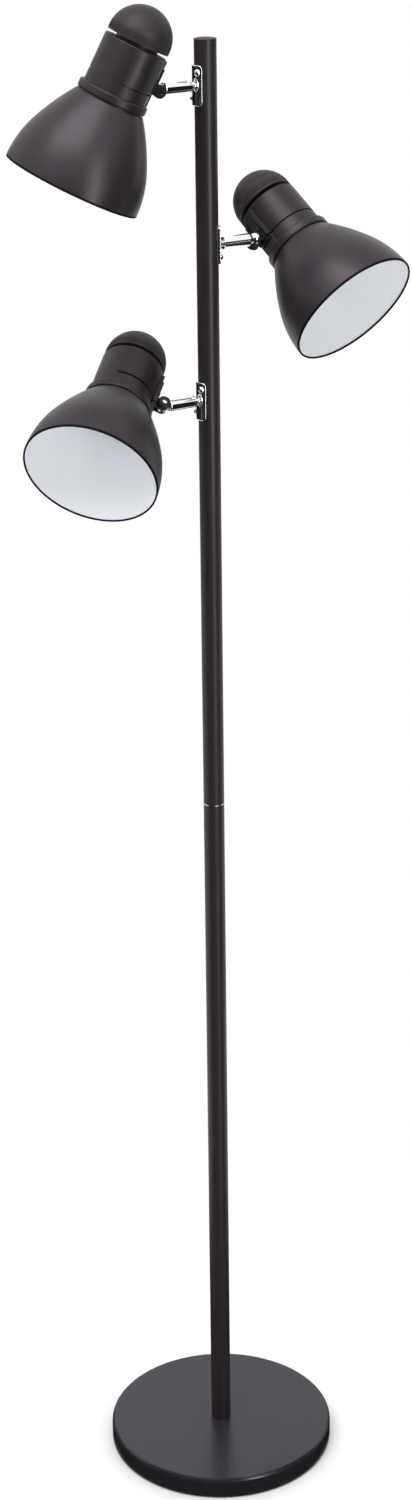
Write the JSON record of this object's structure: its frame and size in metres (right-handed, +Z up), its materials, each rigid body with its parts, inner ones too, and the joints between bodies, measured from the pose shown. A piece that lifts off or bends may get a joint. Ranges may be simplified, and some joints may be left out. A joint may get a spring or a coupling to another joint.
{
  "type": "tree floor lamp",
  "caption": "Floor lamp with a round weighted base, a straight pole and adjustable bell-shaded spot heads on short swivel arms, each with a rotary switch knob.",
  "frame": {"origin": "centre of the round base's underside, on the floor and on the pole's axis", "axes": "+Z up along the pole; the arms lie along X, the middle one towards +X and the other two towards -X; the supply cord's inlet faces +Y"},
  "size_m": [0.4022, 0.2555, 1.6372],
  "materials": {
    "base_paint": "satin black paint",
    "cast_iron": "raw casting",
    "pad_rubber": "matt",
    "zinc_steel": "bright zinc",
    "grommet_rubber": "matt",
    "pole_paint": "satin black paint",
    "pole_cap_plastic": "satin black",
    "chrome": "polished",
    "fork_paint": "satin black",
    "thumb_nut_plastic": "matt black",
    "housing_plastic": "satin black",
    "shade_paint": "satin black outside, white inside",
    "holder_white": "glazed white",
    "socket_brass": "bright",
    "ring_plastic": "satin black",
    "knob_plastic": "satin black"
  },
  "bodies": {
    "stand": {"base_nut": "zinc_steel", "base_shell": "base_paint", "base_stud": "zinc_steel", "base_washer": "zinc_steel", "base_weight": "cast_iron", "bracket_plate_1": "chrome", "bracket_plate_2": "chrome", "bracket_plate_3": "chrome", "cord_grommet": "grommet_rubber", "floor_pad": "pad_rubber", "plate_screws": "chrome", "pole_foot_plug": "zinc_steel", "pole_joint": "zinc_steel", "pole_lower_tube": "pole_paint", "pole_top_cap": "pole_cap_plastic", "pole_upper_tube": "pole_paint", "swivel_nut_1": "zinc_steel", "swivel_nut_2": "zinc_steel", "swivel_nut_3": "zinc_steel", "swivel_stud_1": "zinc_steel", "swivel_stud_2": "zinc_steel", "swivel_stud_3": "zinc_steel"},
    "arm_1": {"arm_sleeve_1": "chrome", "arm_tongue_1": "zinc_steel"},
    "head_1": {"head_bracket_1": "fork_paint", "housing_body_1": "housing_plastic", "housing_cover_1": "housing_plastic", "lamp_holder_1": "holder_white", "pivot_screw_1": "chrome", "shade_1": "shade_paint", "shade_ring_1": "ring_plastic", "socket_shell_1": "socket_brass", "thumb_nut_1": "thumb_nut_plastic"},
    "knob_1": {"switch_knob_1": "knob_plastic"},
    "arm_2": {"arm_sleeve_2": "chrome", "arm_tongue_2": "zinc_steel"},
    "head_2": {"head_bracket_2": "fork_paint", "housing_body_2": "housing_plastic", "housing_cover_2": "housing_plastic", "lamp_holder_2": "holder_white", "pivot_screw_2": "chrome", "shade_2": "shade_paint", "shade_ring_2": "ring_plastic", "socket_shell_2": "socket_brass", "thumb_nut_2": "thumb_nut_plastic"},
    "knob_2": {"switch_knob_2": "knob_plastic"},
    "arm_3": {"arm_sleeve_3": "chrome", "arm_tongue_3": "zinc_steel"},
    "head_3": {"head_bracket_3": "fork_paint", "housing_body_3": "housing_plastic", "housing_cover_3": "housing_plastic", "lamp_holder_3": "holder_white", "pivot_screw_3": "chrome", "shade_3": "shade_paint", "shade_ring_3": "ring_plastic", "socket_shell_3": "socket_brass", "thumb_nut_3": "thumb_nut_plastic"},
    "knob_3": {"switch_knob_3": "knob_plastic"}
  },
  "joints": [
    {"name": "arm_1_swivel", "type": "hinge", "parent": "stand", "child": "arm_1", "pos_m": [0, 0, 1.555], "axis": [-1, 0, 0], "range_deg": [-155, 175]},
    {"name": "head_1_tilt", "type": "hinge", "parent": "arm_1", "child": "head_1", "pos_m": [-0.055, 0, 1.555], "axis": [0, -0.9848, -0.1736], "range_deg": [-30, 30]},
    {"name": "knob_1_turn", "type": "hinge", "parent": "head_1", "child": "knob_1", "pos_m": [-0.07824, -0.0084, 1.60262], "axis": [0.4226, -0.1574, 0.8925], "continuous": true},
    {"name": "arm_2_swivel", "type": "hinge", "parent": "stand", "child": "arm_2", "pos_m": [0, 0, 1.3985], "axis": [1, 0, 0], "range_deg": [-113, 217]},
    {"name": "head_2_tilt", "type": "hinge", "parent": "arm_2", "child": "head_2", "pos_m": [0.055, 0, 1.3985], "axis": [0, 0.6157, -0.788], "range_deg": [-42.5, 17.5]},
    {"name": "knob_2_turn", "type": "hinge", "parent": "head_2", "child": "knob_2", "pos_m": [0.08816, 0.03324, 1.42447], "axis": [-0.2164, 0.7693, 0.6011], "continuous": true},
    {"name": "arm_3_swivel", "type": "hinge", "parent": "stand", "child": "arm_3", "pos_m": [0, 0, 1.242], "axis": [-1, 0, 0], "range_deg": [-211.5, 118.5]},
    {"name": "head_3_tilt", "type": "hinge", "parent": "arm_3", "child": "head_3", "pos_m": [-0.055, 0, 1.242], "axis": [0, -0.6884, 0.7254], "range_deg": [-15, 45]},
    {"name": "knob_3_turn", "type": "hinge", "parent": "head_3", "child": "knob_3", "pos_m": [-0.06494, 0.03824, 1.27829], "axis": [0.6428, 0.5557, 0.5273], "continuous": true}
  ]
}
